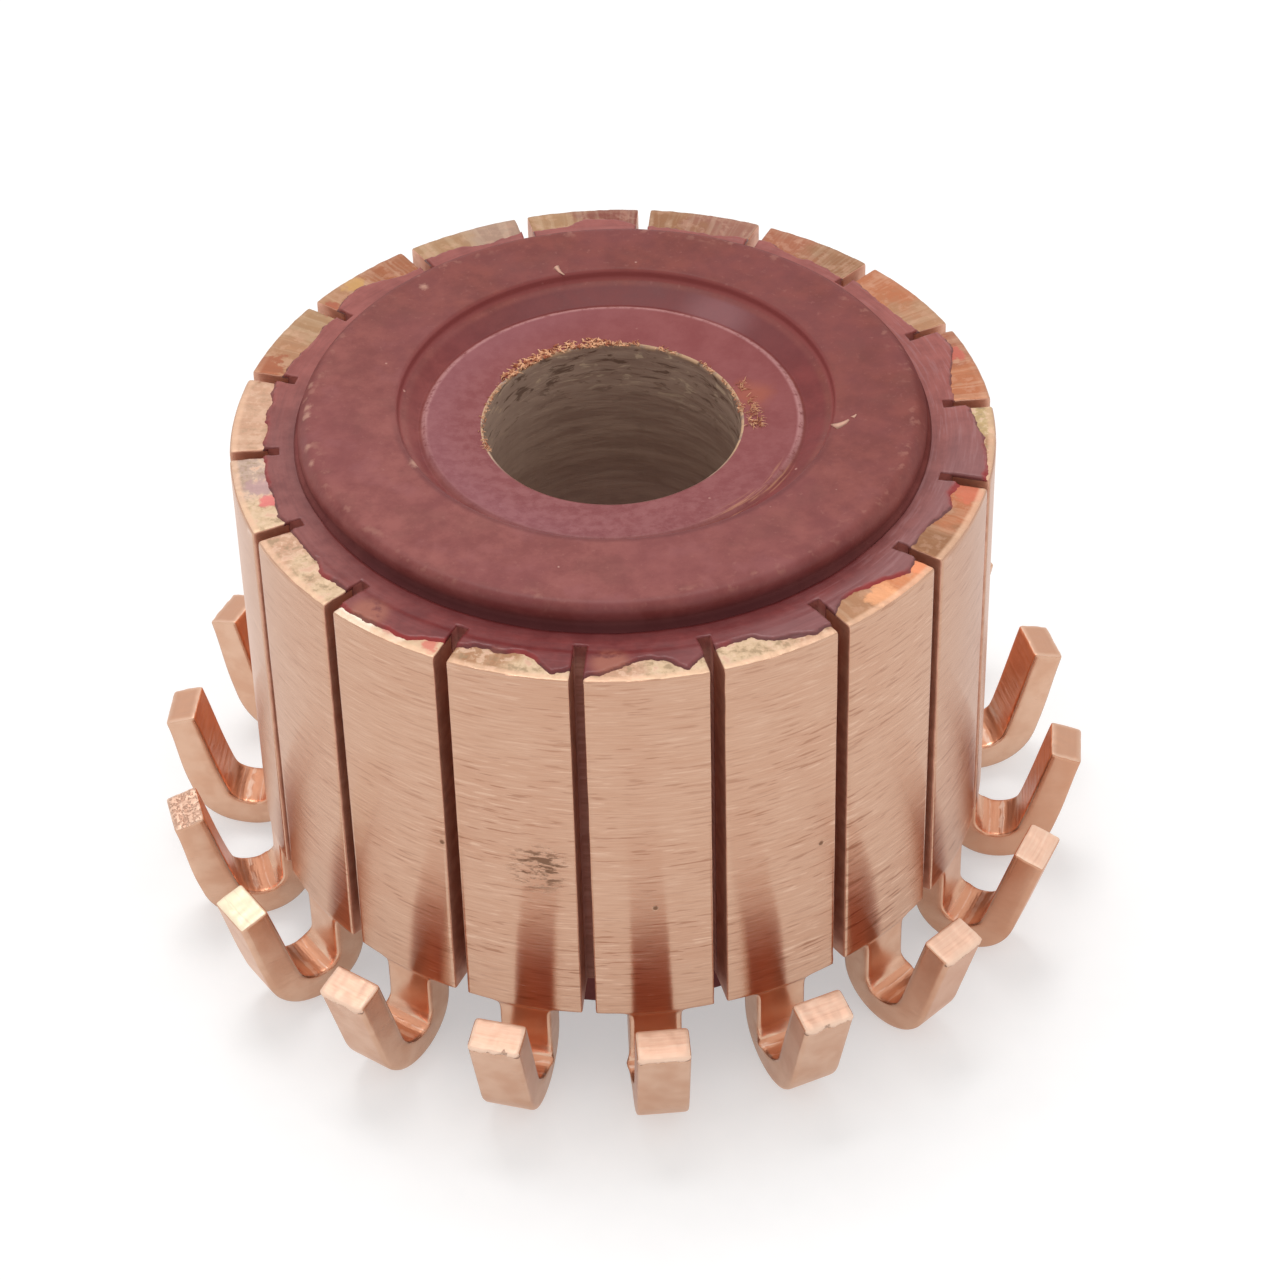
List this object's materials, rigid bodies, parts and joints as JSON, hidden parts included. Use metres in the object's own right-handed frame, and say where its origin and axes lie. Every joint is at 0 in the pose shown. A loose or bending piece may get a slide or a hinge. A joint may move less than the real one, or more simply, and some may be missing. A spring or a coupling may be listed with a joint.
{
  "type": "hook commutator",
  "caption": "Ring of copper bars with bent wire hooks on a moulded resin hub, bored for a motor shaft; brushes run on the bars' turned outer face.",
  "frame": {"origin": "centre of the bore on the plane of the foot, on which the part stands", "axes": "+Z along the bore, from the hooks to the raised face; +X through the middle of bar_01"},
  "size_m": [0.0304, 0.0302, 0.0181],
  "materials": {
    "copper": null,
    "resin": "satin moulded phenolic resin"
  },
  "bodies": {
    "root": {"hub": "resin", "bar_01": "copper", "bar_02": "copper", "bar_03": "copper", "bar_04": "copper", "bar_05": "copper", "bar_06": "copper", "bar_07": "copper", "bar_08": "copper", "bar_09": "copper", "bar_10": "copper", "bar_11": "copper", "bar_12": "copper", "bar_13": "copper", "bar_14": "copper", "bar_15": "copper", "bar_16": "copper", "bar_17": "copper", "bar_18": "copper"}
  },
  "joints": []
}
